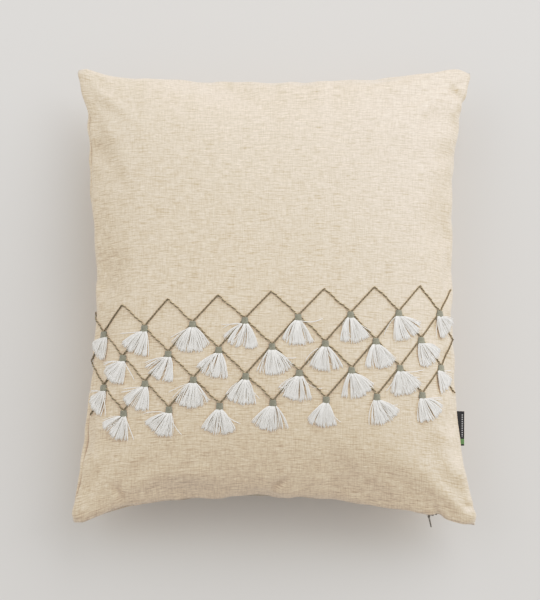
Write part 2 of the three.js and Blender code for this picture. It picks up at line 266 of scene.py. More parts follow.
def linen_material():
    """Slubby cotton and linen: crisp uneven weft threads, finer warp lines and dark flecks."""
    linen = Surface("linen_weave", Roughness=0.52, Sheen_Weight=0.25, Sheen_Roughness=0.5,
                    Specular_IOR_Level=0.9)
    flat = linen.place("flat")
    slubs = linen.noise(flat, (90, 780, 1), 1.5, 0.6)
    weft = linen.noise(flat, (240, 900, 1), 1.5, 0.6, (3, 7, 0))
    warp = linen.noise(flat, (820, 70, 1), 1.0, 0.5, (5, 1, 0))
    threads = linen.noise(flat, (50, 800, 1), 0.5, 0.4, (8, 2, 0))
    pale_threads = linen.noise(flat, (45, 760, 1), 0.5, 0.4, (1, 6, 0))
    flecks = linen.noise(flat, (330, 900, 1), 1.0, 0.5, (9, 4, 0))
    slubby = linen.between(slubs, 0.34, 0.82)
    color = linen.mix(slubby, rgb(0.87, 0.705, 0.528), rgb(0.61, 0.475, 0.328))
    for value, low, high, tint in (
        (weft, 0.36, 0.70, rgb(0.80, 0.775, 0.74)),
        (warp, 0.42, 0.70, rgb(0.85, 0.83, 0.80)),
        (threads, 0.60, 0.68, rgb(0.80, 0.77, 0.73)),
        (pale_threads, 0.58, 0.67, rgb(1.10, 1.10, 1.09)),
    ):
        shade = linen.mix(linen.between(value, low, high), rgb(1, 1, 1), tint)
        color = linen.mix(1.0, color, shade, "MULTIPLY")
    speck = linen.math("MULTIPLY", linen.between(flecks, 0.69, 0.75), 0.55)
    linen.color(linen.mix(speck, color, rgb(0.27, 0.215, 0.15)))
    height = linen.math("ADD", linen.math("MULTIPLY", slubs, 1.2), linen.math("ADD", weft, warp))
    linen.bump(height, 0.0004, 0.6)
    return linen.material


def calico_material():
    """The plain off-white weave of the insert's case."""
    calico = Surface("calico", Roughness=0.95, Sheen_Weight=0.1)
    place = calico.place()
    weave = calico.noise(place, (900, 260, 300), 2.0, 0.6)
    shade = calico.between(weave, 0.3, 0.7)
    calico.color(calico.mix(shade, rgb(0.80, 0.78, 0.73), rgb(0.9, 0.88, 0.84)))
    calico.bump(weave, 0.0003, 0.5)
    return calico.material


def wadding_material():
    """Loose white fibre."""
    wadding = Surface("wadding", Roughness=1.0, Sheen_Weight=0.3)
    place = wadding.place()
    fluff = wadding.noise(place, (90, 90, 90), 5.0, 0.7)
    shade = wadding.between(fluff, 0.3, 0.7)
    wadding.color(wadding.mix(shade, rgb(0.8, 0.8, 0.79), rgb(0.93, 0.93, 0.92)))
    wadding.bump(fluff, 0.003, 0.8)
    return wadding.material


def thread_material(name, light, dark, scale, roughness=0.8, sheen=0.2):
    """Spun thread: uneven colour, with fine fibres in the bump."""
    thread = Surface(name, Roughness=roughness, Sheen_Weight=sheen, Specular_IOR_Level=0.25)
    place = thread.place()
    tone = thread.noise(place, (scale, scale, scale), 3.0, 0.6)
    fibres = thread.noise(place, (4 * scale, 4 * scale, 4 * scale), 2.0, 0.6, (1, 2, 3))
    thread.color(thread.mix(thread.between(tone, 0.3, 0.7), rgb(*dark), rgb(*light)))
    thread.bump(fibres, 0.00025, 0.6)
    return thread.material


def cord_material():
    """Olive twisted cord; one strand is paler where its tone is high: a real two-tone ply, raised on
    falling legs as painted light.
    """
    cord = Surface("cord_thread", Roughness=0.75, Sheen_Weight=0.2, Specular_IOR_Level=0.3)
    place = cord.place()
    uneven = cord.noise(place, (900, 900, 900), 3.0, 0.6)
    fibres = cord.noise(place, (3600, 3600, 3600), 2.0, 0.6, (1, 2, 3))
    dark = cord.mix(uneven, rgb(0.115, 0.09, 0.048), rgb(0.23, 0.18, 0.10))
    pale = cord.mix(uneven, rgb(0.37, 0.305, 0.19), rgb(0.52, 0.44, 0.29))
    # The tone attribute carries the paler ply and painted light on falling legs, where the twist catches
    # the light.
    tone = cord.node("ShaderNodeAttribute", attribute_name="tone").outputs["Fac"]
    cord.color(cord.mix(tone, dark, pale))
    cord.bump(fibres, 0.00025, 0.6)
    return cord.material


def tape_material():
    """Woven tape with fine ribs along it."""
    tape = Surface("zip_tape_weave", Roughness=0.9, Sheen_Weight=0.1)
    place = tape.place()
    ribs = tape.noise(place, (200, 1600, 1600), 2.0, 0.5)
    shade = tape.between(ribs, 0.3, 0.7)
    tape.color(tape.mix(shade, rgb(0.52, 0.45, 0.34), rgb(0.66, 0.58, 0.45)))
    tape.bump(ribs, 0.0003, 0.6)
    return tape.material


def metal_material():
    """Dark plated metal, worn paler and duller in places."""
    metal = Surface("gunmetal", Metallic=1.0)
    place = metal.place()
    wear = metal.noise(place, (300, 300, 300), 4.0, 0.6)
    worn = metal.between(wear, 0.45, 0.75)
    metal.color(metal.mix(worn, rgb(0.15, 0.135, 0.115), rgb(0.36, 0.33, 0.29)))
    rough = metal.node("ShaderNodeMapRange", {"Value": wear, "To Min": 0.28, "To Max": 0.5}).outputs[0]
    metal.tree.links.new(rough, metal.shader.inputs["Roughness"])
    metal.bump(wear, 0.0001, 0.3)
    return metal.material


def nylon_material():
    """Smooth moulded nylon, near the tape's colour."""
    nylon = Surface("zip_nylon", Roughness=0.42, Specular_IOR_Level=0.5)
    place = nylon.place()
    tone = nylon.noise(place, (250, 250, 250), 2.0, 0.5)
    shade = nylon.between(tone, 0.3, 0.7)
    nylon.color(nylon.mix(shade, rgb(0.50, 0.42, 0.29), rgb(0.58, 0.49, 0.36)))
    nylon.bump(tone, 0.0001, 0.3)
    return nylon.material


def floor_material():
    """Matt warm grey, very slightly uneven."""
    floor = Surface("floor", Roughness=0.9, Specular_IOR_Level=0.1)
    place = floor.place()
    tone = floor.noise(place, (1.2, 1.2, 1.2), 2.0, 0.5)
    floor.color(floor.mix(tone, rgb(0.66, 0.64, 0.615), rgb(0.68, 0.66, 0.635)))
    return floor.material


def half_width(t):
    """Half the cover's width at a share t of its height: the upper half stays straight longer."""
    return HALF_WIDTH - SIDE_BOW * (1 - np.abs(t) ** np.where(t > 0, TOP_FLARE, 2))


def unplan(x, y):
    """The inverse of plan."""
    s, t = x / HALF_WIDTH, y / HALF_HEIGHT
    for _ in range(12):
        bow = np.where(y > 0, TOP_BOW, ZIP_BOW)
        s = np.clip(x / half_width(t), -1, 1)
        t = np.clip(y / (HALF_HEIGHT - bow * (1 - s * s)), -1, 1)
    return s, t


def seam_height(x, y):
    """How high the seam runs: level, and lower at the corners, which hang."""
    corner = np.abs(x * y) / (HALF_WIDTH * HALF_HEIGHT)
    return SEAM_HEIGHT - EAR_DROP * np.minimum(corner, 1.05) ** 10


def dome(s, t):
    """The height of the crown as a share, 1 in the middle and 0 at the seam."""
    across, along = 1 - np.abs(s) ** FULLNESS, 1 - np.abs(t) ** FULLNESS
    return np.maximum(0, across * along) ** ROUNDNESS


def flat_panels(u, v):
    """The two panels before they are blown up: nearly flat and a little uneven."""
    rise = START_HEIGHT * np.sqrt(np.clip((1 - u * u) * (1 - v * v), 0, 1))
    x = u * PANEL_HALF_WIDTH * (1 - 0.02 * (1 - v * v))
    y = v * PANEL_HALF_HEIGHT * (1 - 0.02 * (1 - u * u))
    random = np.random.default_rng(11)
    for _ in range(24):
        fx, fy, phase = random.uniform(4, 16), random.uniform(4, 16), random.uniform(0, 6.3)
        rise = rise + 0.00035 * (1 - u**8) * (1 - v**8) * np.sin(fx * u + fy * v + phase)
    return np.stack([x, y, rise], -1).reshape(-1, 3), np.stack([x, y, -rise], -1).reshape(-1, 3)


def add_cloth(obj):
    """Light cloth, blown up as far as each point's weight in the group "pressure" says."""
    settings = obj.modifiers.new("Cloth", "CLOTH").settings
    settings.quality, settings.mass, settings.air_damping = 5, 0.3, 3
    settings.tension_stiffness = settings.compression_stiffness = 60
    settings.shear_stiffness, settings.bending_stiffness = 10, 0.5
    settings.tension_damping = settings.compression_damping = settings.shear_damping = 15
    settings.bending_damping = 1
    settings.use_pressure = True
    settings.uniform_pressure_force = PRESSURE
    settings.vertex_group_pressure = "pressure"
    settings.effector_weights.gravity = 0


def simulated_panels(u, v):
    """The two panels after a cloth simulation, as heights from a seam at 0."""
    front, back = flat_panels(u, v)
    vertices, faces, back_index = sewn(front, back)
    obj = make_object("cover_sim", vertices, faces)
    weight = (np.clip((1 - u * u) * (1 - v * v), 0, 1) ** PRESSURE_FALLOFF).ravel()
    group = obj.vertex_groups.new(name="pressure")
    for side in (np.arange(len(front)), back_index):
        for vertex, value in zip(side, weight):
            group.add([int(vertex)], float(value), "REPLACE")
    add_cloth(obj)
    for number in range(1, SIM_FRAMES + 1):
        bpy.context.scene.frame_set(number)
    evaluated = obj.evaluated_get(bpy.context.evaluated_depsgraph_get())
    moved = np.array([tuple(vertex.co) for vertex in evaluated.data.vertices])
    bpy.context.scene.frame_set(1)
    bpy.data.objects.remove(obj)
    shape = (*u.shape, 3)
    return moved[: len(front)].reshape(shape), moved[back_index].reshape(shape)


def sewn(front, back):
    """One closed mesh from two grids of points that share their border."""
    inner = np.zeros((ROWS + 1, COLUMNS + 1), bool)
    inner[1:-1, 1:-1] = True
    inner = inner.ravel()
    back_index = np.arange(len(front))
    back_index[inner] = len(front) + np.arange(inner.sum())
    vertices = np.concatenate([front, back[inner]])
    faces = []
    for j in range(ROWS):
        for i in range(COLUMNS):
            a = j * (COLUMNS + 1) + i
            faces.append((a, a + 1, a + COLUMNS + 2, a + COLUMNS + 1))
    faces += [tuple(int(back_index[k]) for k in reversed(face)) for face in faces]
    return vertices, faces, back_index


def fitted(grid, side):
    """A simulated panel brought to the CAD model's outline and crown, keeping its puckers."""
    x, y, z = grid[..., 0].copy(), grid[..., 1].copy(), grid[..., 2] * side
    share = np.linspace(0, 1, COLUMNS + 1)[None, :]
    edges = []
    for column in (0, -1):
        t = np.clip(y[:, column] / np.abs(y[:, column]).max(), -1, 1)
        edges.append(blurred(half_width(t) / np.abs(x[:, column]), 7, 0)[:, None])
    x_scale = edges[0] * (1 - share) + edges[1] * share
    share = np.linspace(0, 1, ROWS + 1)[:, None]
    edges = []
    for row, bow in ((0, ZIP_BOW), (-1, TOP_BOW)):
        s = np.clip(x[row] / np.abs(x[row]).max(), -1, 1)
        wanted = HALF_HEIGHT - bow * (1 - s * s)
        edges.append(blurred(wanted / np.abs(y[row]), 7, 0)[None, :])
    y_scale = edges[0] * (1 - share) + edges[1] * share
    x, y = x * x_scale, y * y_scale
    s, t = unplan(x, y)
    reach = CROWN if side > 0 else BELLY
    inside = smooth_steps((1 - np.abs(s)) / 0.12) * smooth_steps((1 - np.abs(t)) / 0.10)
    wanted = reach * dome(s, t)
    excess = (z - wanted) * inside
    smooth = z - blurred(blurred(excess, 7, 0), 7, 1) * inside
    margin, along_edge = from_edge(s, t)
    calm = smooth_steps((margin - 0.016) / 0.05)
    z = smooth + (wanted - smooth) * calm * CALM
    z = z + gathers(margin, along_edge, side)
    ear = 1 + EAR_REACH * np.abs(s * t) ** 8
    return np.stack([x * ear, y * ear, side * z], -1)


def from_edge(s, t):
    """Distance to the nearest seam, and a running distance along that seam."""
    from_side, from_end = (1 - np.abs(s)) * HALF_WIDTH, (1 - np.abs(t)) * HALF_HEIGHT
    along = np.where(from_side < from_end, t * HALF_HEIGHT, s * HALF_WIDTH + 1.0)
    return np.minimum(from_side, from_end), along


def waves(along, shortest, longest, random):
    """The sum of five sine waves of random lengths and phases."""
    return sum(np.sin(2 * math.pi * along / random.uniform(shortest, longest) + random.uniform(0, 6.3))
               for _ in range(5))


def gathers(margin, along, side):
    """Small soft puckers that run in from the seams."""
    wave = waves(along, 0.022, 0.060, np.random.default_rng(17 + side))
    return GATHER * 0.6 * wave * np.exp(-margin / GATHER_REACH) * smooth_steps(margin / 0.006)


def rolled(front, back):
    """Turns the left seam up onto the front: well up over the lower half, a little over the upper."""
    for row in range(1, ROWS):
        y = front[row, 0, 1]
        share = smooth_steps((-0.055 - y) / 0.06) * smooth_steps((y + 0.238) / 0.03)
        share += 0.75 * smooth_steps((y - 0.04) / 0.06) * smooth_steps((0.215 - y) / 0.03)
        line = np.concatenate([back[row, ROLL_CELLS:0:-1], front[row, : ROLL_CELLS + 1]])
        distance = np.concatenate([[0], np.cumsum(np.linalg.norm(np.diff(line, axis=0), axis=1))])
        distance -= distance[ROLL_CELLS]
        moved = distance + SEAM_ROLL * share * np.exp(-((distance / 0.022) ** 2))
        line = np.stack([np.interp(moved, distance, line[:, k]) for k in range(3)], -1)
        back[row, ROLL_CELLS:0:-1], front[row, : ROLL_CELLS + 1] = line[:ROLL_CELLS], line[ROLL_CELLS:]
        back[row, 0] = front[row, 0]


def cover_panels():
    """Front and back panels as grids of points, in place on the floor."""
    u, v = np.meshgrid(np.linspace(-1, 1, COLUMNS + 1), np.linspace(-1, 1, ROWS + 1))
    front, back = simulated_panels(u, v)
    front, back = fitted(front, 1), fitted(back, -1)
    for grid in (front, back):
        grid[..., 2] += seam_height(grid[..., 0], grid[..., 1])
    low = back[..., 2]
    pressed = FLAT_BLEND * np.exp(np.minimum(low, FLAT_BLEND) / FLAT_BLEND - 1)
    back[..., 2] = REST_GAP + np.where(low > FLAT_BLEND, low, pressed)
    border = np.ones(u.shape, bool)
    border[1:-1, 1:-1] = False
    back[border] = front[border]
    rolled(front, back)
    return front, back, np.stack([u * PANEL_HALF_WIDTH, v * PANEL_HALF_HEIGHT, 0 * u], -1)


def subdivided(front, back, flat):
    """The closed cover after one smoothing subdivision: points, flat places, faces by panel."""
    vertices, faces, back_index = sewn(front.reshape(-1, 3), back.reshape(-1, 3))
    obj = make_object("cover_cage", vertices, faces)
    half = len(faces) // 2
    obj.data.materials.append(None)
    obj.data.materials.append(None)
    obj.data.polygons.foreach_set("material_index", [0] * half + [1] * half)
    places = np.zeros((len(vertices), 3))
    places[: front.shape[0] * front.shape[1]] = flat.reshape(-1, 3)
    places[back_index] = flat.reshape(-1, 3)
    attribute = obj.data.attributes.new("flat", "FLOAT_VECTOR", "POINT")
    attribute.data.foreach_set("vector", places.ravel())
    obj.modifiers.new("Smooth", "SUBSURF").levels = 1
    mesh = obj.evaluated_get(bpy.context.evaluated_depsgraph_get()).data
    points = np.array([tuple(vertex.co) for vertex in mesh.vertices])
    normals = np.array([tuple(vertex.normal) for vertex in mesh.vertices])
    places = np.zeros(len(points) * 3)
    mesh.attributes["flat"].data.foreach_get("vector", places)
    quads = np.array([tuple(face.vertices) for face in mesh.polygons])
    panel = np.array([face.material_index for face in mesh.polygons])
    bpy.data.objects.remove(obj)
    return points, normals, places.reshape(-1, 3), quads[panel == 0], quads[panel == 1]


def leaned(points):
    """Points of the pillow as it lies: its top and lower corners lean, its edges are uneven."""
    points = points.copy()
    x, y = points[..., 0].copy(), points[..., 1].copy()
    near_corner = smooth_steps((np.abs(x) - 0.15) / 0.05) * smooth_steps((-y - 0.17) / 0.08)
    skewed = TOP_LEAN * (1 - 0.42 * x / HALF_WIDTH)
    points[..., 0] += skewed * smooth_steps((y - 0.02) / 0.13) + EAR_LEAN * near_corner
    points[..., 0] += bumps(y, LEFT_DRAWS) * smooth_steps((-x - 0.10) / 0.09)
    points[..., 1] += bumps(x, TOP_RISES) * smooth_steps((y - 0.12) / 0.12)
    points[..., 1] += bumps(x, ZIP_DRAWS) * smooth_steps((-y - 0.19) / 0.035)
    points[..., 1] -= EAR_SAG * np.exp(-((x + HALF_WIDTH) ** 2 + (y + HALF_HEIGHT) ** 2) / 0.032**2)
    return points


def settled(points, normals):
    """The cover's points as it lies, with fine ripples, a few creases and blunt corners."""
    x, y, z = points.T
    points = leaned(points)
    margin, along_edge = from_edge(*unplan(x, y))
    wave = waves(along_edge, 0.035, 0.090, np.random.default_rng(29))
    points += normals * (RIPPLE * wave * np.exp(-margin / RIPPLE_REACH))[:, None]
    on_front = smooth_steps((z - 0.045) / 0.01)
    for place_x, place_y, heading, length, width, depth in CREASES:
        turn = math.radians(heading)
        along = (x - place_x) * math.cos(turn) + (y - place_y) * math.sin(turn)
        across = ((y - place_y) * math.cos(turn) - (x - place_x) * math.sin(turn)) / width
        valley = (1 - 0.7 * across**2) * np.exp(-(across**2) - (along / length) ** 2)
        points -= normals * (depth * valley * on_front)[:, None]
    for outward in ((-0.62, -0.78, 0), (0.62, -0.78, 0), (-0.62, 0.78, 0), (0.62, 0.78, 0)):
        reach = points @ np.array(outward)
        beyond = np.maximum(0, reach - reach.max() + CORNER_CUT)
        points -= np.outer((1 - CORNER_KEEP) * beyond, outward)
    return points


def bumps(x, places):
    """The sum of smooth bumps, each given as its place, reach and rise."""
    return sum(rise * np.exp(-(((x - place) / reach) ** 2)) for place, reach, rise in places)


def panel_piece(name, points, normals, places, quads, seam, side, material):
    """One cover panel: its border is pulled into the seam, and stands open along the zip."""
    points = points.copy()
    x = points[seam, 0]
    at_zip = points[seam, 1] < -0.9 * (HALF_HEIGHT - ZIP_BOW)
    open_share = smooth_steps((x - ZIP_LEFT + 0.004) / 0.008)
    open_share *= smooth_steps((ZIP_RIGHT + 0.004 - x) / 0.008) * at_zip
    points[seam] -= normals[seam] * (SEAM_PULL + ZIP_FOLD * open_share)[:, None]
    points[seam, 2] += side * (SEAM_GAP + (ZIP_GAPE + bumps(x, LIP_RISES)) * open_share)
    used, faces = np.unique(quads, return_inverse=True)
    faces = faces.reshape(quads.shape)
    obj = make_object(name, points[used], faces, material)
    attribute = obj.data.attributes.new("flat", "FLOAT_VECTOR", "POINT")
    attribute.data.foreach_set("vector", places[used].ravel())
    thick = obj.modifiers.new("Cloth", "SOLIDIFY")
    thick.thickness, thick.offset = CLOTH_THICKNESS, -1
    return obj


def add_cover(front, back, flat, linen):
    """Both panels of the cover; gives back the front, to lay stitches on."""
    points, normals, places, front_quads, back_quads = subdivided(front, back, flat)
    points = settled(points, normals)
    seam = np.intersect1d(front_quads, back_quads)
    for name, quads, side, node in (
        ("cover_front", front_quads, 1, "front_panel"),
        ("cover_back", back_quads, -1, "back_panel"),
    ):
        piece = panel_piece(name, points, normals, places, quads, seam, side, linen)
        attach(piece, "cushion")
        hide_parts(node)
    return BVHTree.FromPolygons([Vector(p) for p in points], front_quads.tolist())


def shrunk(grid, scales):
    """A copy of a panel drawn in towards the middle of the pillow, its corners most of all."""
    middle = np.array([0, 0, SEAM_HEIGHT])
    corner = np.abs(grid[..., :1] * grid[..., 1:2]) / (HALF_WIDTH * HALF_HEIGHT)
    pulled = 1 - CASE_CORNER * np.minimum(corner, 1) ** 6
    return middle + (grid - middle) * np.array(scales) * pulled


def add_insert(front, back, calico, wadding):
    """The insert's case in two halves, each with its cloth, and the wadding that fills it."""
    front_case, back_case = shrunk(leaned(front), CASE_SHARES), shrunk(leaned(back), CASE_SHARES)
    for name, grid, flip, node in (
        ("insert_front", front_case, False, "insert_front_case"),
        ("insert_back", back_case, True, "insert_back_case"),
    ):
        faces = sewn(grid.reshape(-1, 3), grid.reshape(-1, 3))[1][: ROWS * COLUMNS]
        faces = [tuple(reversed(face)) for face in faces] if flip else faces
        grid = grid + np.array([0, 0, -CASE_GAP if flip else CASE_GAP])
        piece = make_object(name, grid.reshape(-1, 3), faces, calico)
        thick = piece.modifiers.new("Cloth", "SOLIDIFY")
        thick.thickness, thick.offset = CASE_THICKNESS, -1
        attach(piece, "cushion")
        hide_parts(node)
    vertices, faces, _ = sewn(shrunk(front_case, FILLING_SHARE).reshape(-1, 3),
                              shrunk(back_case, FILLING_SHARE).reshape(-1, 3))
    filling = make_object("filling_wadding", vertices, faces, wadding)
    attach(filling, "cushion")
    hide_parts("filling")


# --------------------------------------------------------------------------------------------
# Embroidery and tassels
# --------------------------------------------------------------------------------------------
class Cloth:
    """The front of the cover, to lay stitches and yarn on."""

    def __init__(self, tree):
        self.tree = tree

    def under(self, x, y):
        """The point of the cloth straight below (x, y, high up), and its normal."""
        spot = self.tree.ray_cast(Vector((x, y, 0.5)), Vector((0, 0, -1)))
        if spot[0] is None:
            spot = self.tree.find_nearest(Vector((x, y, SEAM_HEIGHT)))
        return np.array(spot[0]), self.normal(spot[0])

    def nearest(self, point):
        """The nearest point of the cloth, and its normal."""
        spot = self.tree.find_nearest(Vector(point))
        return np.array(spot[0]), np.array(spot[1])

    def normal(self, point, reach=0.003):
        """The cloth's normal, averaged over a few millimetres."""
        total = np.zeros(3)
        for dx, dy in ((0, 0), (reach, 0), (-reach, 0), (0, reach), (0, -reach)):
            beside = Vector((point[0] + dx, point[1] + dy, point[2]))
            total += np.array(self.tree.find_nearest(beside)[1])
        return total / np.linalg.norm(total)


def net_point(cell, drop):
    """A point of the net: cell counts cells across from its middle, drop rows down."""
    past_bars = math.copysign(max(0.0, abs(cell) - OUTER_BAR), cell)
    x = NET_OFFSET + NET_PITCH * cell - NET_PINCH * cell**3 - END_PULL * past_bars + NET_SKEW * drop
    fall = NET_ROW_STEP * (NET_FIRST_RISE * drop if drop < 0 else drop)
    return x, NET_FIRST_ROW + BAR_LENGTH / 2 - fall + NET_TILT * x


def bar_cells(row):
    """Where the bars of a row stand, in cells from the middle of the net."""
    count = 8 if row % 2 == 0 else 7
    return [k - (count - 1) / 2 for k in range(count)]


def cord_path(cloth, row, step=0.0005):
    """The line of one zigzag on the cloth, in even steps, with the cloth's normal at each."""
    phase = 0 if row % 2 == 0 else 0.5
    line = []
    for k in range(int(NET_REACH * 4 * LEG_STEPS) + 1):
        cell = -NET_REACH + k / (2 * LEG_STEPS)
        from_peak = abs(((cell + phase + 100.5) % 1) - 0.5) * 2
        x, y = net_point(cell, row - 1 + from_peak)
        wander = math.sin(9.1 * cell + row) + math.sin(23.7 * cell + 2.3 * row)
        spot, normal = cloth.under(x + CORD_WANDER * wander, y + CORD_WANDER * wander)
        to_bar = (1 - from_peak) * LEG_LENGTH / CLIMB_LENGTH
        lift = CORD_LIFT + BAR_CLIMB * float(smooth_steps(1 - to_bar))
        line.append((spot + normal * lift, normal))
    points = np.array([p for p, _ in line])
    normals = np.array([n for _, n in line])
    lengths = np.concatenate([[0], np.cumsum(np.linalg.norm(np.diff(points, axis=0), axis=1))])
    even = np.arange(0, lengths[-1], step)
    return (np.stack([np.interp(even, lengths, points[:, k]) for k in range(3)], -1),
            np.stack([np.interp(even, lengths, normals[:, k]) for k in range(3)], -1), even)


def cord_mesh(cloth, row):
    """Two twisted strands, and how light each is at each vertex: one strand is a paler ply, made paler
    still on falling legs as painted light.
    """
    points, normals, distance = cord_path(cloth, row)
    tangents = np.gradient(points, axis=0)
    tangents /= np.linalg.norm(tangents, axis=1)[:, None]
    sides = np.cross(tangents, normals)
    paths, radii, ply_tones_and_painted_light = [], [], []
    falling = smooth_steps(0.5 - 2 * tangents[:, 1])
    for strand in (0, 1):
        turn = (distance / CORD_PITCH * 2 * math.pi + strand * math.pi)[:, None]
        paths.append(points + CORD_TWIST * (np.cos(turn) * sides + np.sin(turn) * normals))
        radii.append(CORD_STRAND * (1 - 0.12 * strand * falling))
        # The 0.25 is the paler ply's real two-tone; the extra on falling legs is painted light where the
        # twist catches the light.
        ply_tones_and_painted_light.append(np.repeat(strand * (0.25 + falling), CORD_SIDES))
    return tubes(paths, radii, CORD_SIDES), np.concatenate(ply_tones_and_painted_light)


def bar_mesh(cloth, row, random):
    """Satin-stitched bars: close threads laid across, arched over the gathered cords."""
    paths = []
    for cell in bar_cells(row):
        x, y = net_point(cell, row)
        for k in range(BAR_THREADS):
            share = (k + 0.5) / BAR_THREADS
            width = BAR_TOP_WIDTH + (BAR_WIDTH - BAR_TOP_WIDTH) * share
            half = 0.5 * width * random.uniform(0.94, 1.06)
            line = y + BAR_OVERHANG - (BAR_LENGTH + 2 * BAR_OVERHANG) * share
            arch = []
            for angle in np.linspace(0, math.pi, 9):
                jitter = random.uniform(-1, 1) * 5e-5
                spot, normal = cloth.under(x - half * math.cos(angle), line + jitter)
                arch.append(spot + normal * (0.0003 + BAR_ARCH * math.sin(angle) ** 0.7))
            paths.append(np.array(arch))
    return tubes(paths, [np.full(len(path), BAR_THREAD) for path in paths], 6)


def stitched(name, node, mesh, material, ply_tones_and_painted_light=None):
    """A piece of the embroidery, which stands for part of one CAD row."""
    piece = make_object(name, *mesh, material)
    # For the cord this tone holds its real two-tone plus painted light on the falling legs.
    if ply_tones_and_painted_light is not None:
        piece.data.attributes.new("tone", "FLOAT", "POINT").data.foreach_set("value", ply_tones_and_painted_light)
    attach(piece, "cushion")
    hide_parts(node)


def add_embroidery(cloth, cord_thread, satin_thread):
    """Each row of the net: its twisted cord and its bars."""
    random = np.random.default_rng(5)
    for row in range(NET_ROWS):
        node = f"embroidery_row_{row + 1}"
        mesh, ply_tones_and_painted_light = cord_mesh(cloth, row)
        stitched(f"cord_row_{row + 1}", node, mesh, cord_thread, ply_tones_and_painted_light)
        stitched(f"satin_bars_row_{row + 1}", node, bar_mesh(cloth, row, random), satin_thread)


def strand_path(cloth, root, axes, fan, lock, random):
    """One thread of a tassel: it leaves the bar, bends over and lies on the cloth."""
    across, down, normal = axes
    lean, opening, straight = fan
    place, lock_turn, lock_length = lock
    place += random.normal(0, 0.06)
    stray = random.random() < 0.05
    angle = opening * place + lean + lock_turn + random.normal(0, 0.4 if stray else 0.04)
    angle = max(-1.5, min(1.5, angle))
    shoulder = SHOULDER * place
    length = STRAND_LENGTH * lock_length * random.uniform(0.96, 1.03) * (1 - 0.05 * angle * angle)
    layer = random.uniform(0, 1)
    heading = math.cos(angle + shoulder) * down + math.sin(angle + shoulder) * across
    curl = random.normal(0, 28 if stray else 5)
    point = root + across * HEAD_HALF_WIDTH * place - down * ROOT_TUCK + normal * 0.0014 * (layer - 0.4)
    step = length / (STRAND_POINTS - 1)
    path = [point]
    taut = math.cos(angle) * down + math.sin(angle) * across * (1, 1, SIDE_FLATTENING)
    on_cloth, _ = cloth.nearest(point)
    for k in range(1, STRAND_POINTS):
        share = k / (STRAND_POINTS - 1)
        on_cloth, out = cloth.nearest(on_cloth + heading * step)
        fall = np.array([0, 0, -1.0]) + out * out[2]
        turn = curl * step - 2 * shoulder / (STRAND_POINTS - 1)
        heading = heading + fall * 0.08 + np.cross(out, heading) * turn
        heading -= out * heading.dot(out)
        heading /= np.linalg.norm(heading)
        bulge = math.sin(min(1, share * 1.15) * math.pi)
        lift = 0.0005 + layer * (0.0020 * (1 - share) + 0.0013 * bulge + 0.0006)
        lying = on_cloth + out * lift
        path.append(lying + straight * share * (point + taut * length * share - lying))
    return np.array(path)


def tassel_mesh(cloth, joint, random):
    """A fan of yarn in locks, leaning outward on the pillow's sides."""
    spot, normal = cloth.nearest(joint["pos_m"])
    root = spot + normal * 0.0018
    across = -np.array(joint["axis"], float)
    across -= normal * across.dot(normal)
    across /= np.linalg.norm(across)
    axes = (across, np.cross(across, normal), normal)
    side = spot[0] / HALF_WIDTH
    lean = SIDE_LEAN * math.copysign(abs(side) ** 1.6, side) + random.uniform(-0.20, 0.20)
    fan = (lean, FAN_SPREAD * random.uniform(0.75, 1.15), STRAIGHTEN * abs(side) ** 3)
    locks = [(random.uniform(-1, 1), random.normal(0, 0.09), random.uniform(0.90, 1.03))
             for _ in range(LOCKS)]
    picks = random.integers(0, LOCKS, STRANDS)
    paths = [strand_path(cloth, root, axes, fan, locks[pick], random) for pick in picks]
    taper = np.ones(STRAND_POINTS)
    taper[-1] = 0.6
    radii = [STRAND_RADIUS * taper * random.uniform(0.8, 1.2) for _ in paths]
    return tubes(paths, radii, 4)


def add_tassels(cloth, yarn):
    """A tassel under each bar, each on its own moving body."""
    random = np.random.default_rng(21)
    joints = {joint["child"]: joint for joint in frame["joints"]}
    for row in range(1, NET_ROWS + 1):
        for column in range(1, len(bar_cells(row - 1)) + 1):
            node = f"tassel_{row}_{column}"
            mesh = tassel_mesh(cloth, joints[node], random)
            piece = make_object(f"yarn_{row}_{column}", *mesh, yarn)
            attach(piece, node)
            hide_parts(node)


# --------------------------------------------------------------------------------------------
# Zip and label
# --------------------------------------------------------------------------------------------
def on_zip(along, depth, height):
    """A point along the zip's arc, at a depth into the pillow and a height from the seam."""
    angle = along / ZIP_RADIUS
    reach = ZIP_RADIUS + depth
    return np.array([reach * math.sin(angle), ZIP_SEAM_Y - ZIP_RADIUS + reach * math.cos(angle),
                     SEAM_HEIGHT + height])


def coil_mesh(side):
    """One coil of the zip: a fine wire wound along the zip's arc."""
    pitch, radius, wire = 0.0016, 0.00105, 0.00036
    turns = int((ZIP_RIGHT - ZIP_LEFT) / pitch)
    path = []
    for k in range(turns * 8 + 1):
        turn = 2 * math.pi * k / 8
        along = ZIP_LEFT + 0.001 + pitch * k / 8
        path.append(on_zip(along, COIL_DEPTH + radius * math.sin(turn),
                           side * 0.0011 + radius * 0.9 * math.cos(turn)))
    return tubes([np.array(path)], [np.full(len(path), wire)], 5)


def add_zip(nylon, tape, metal):
    """Wound coils, and the finished look of the tapes, stops, slider and pull."""
    for name, side in (("front", 1), ("back", -1)):
        coil = make_object(f"coil_{name}", *coil_mesh(side), nylon)
        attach(coil, "cushion")
        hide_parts(f"zip_coil_{name}")
        dress(f"zip_tape_{name}", tape)
    for node in ("zip_top_stop", "zip_bottom_stop", "zip_slider", "zip_pull"):
        dress(node, metal)
        bevel = frame["nodes"][node].modifiers.new("Edges", "BEVEL")
        bevel.width, bevel.segments, bevel.limit_method = 0.00025, 2, "ANGLE"


def dress(node, material):
    """A CAD node kept as it is, with its finished material."""
    mesh = frame["nodes"][node].data
    for index in range(len(mesh.materials)):
        mesh.materials[index] = material
    if not mesh.materials:
        mesh.materials.append(material)


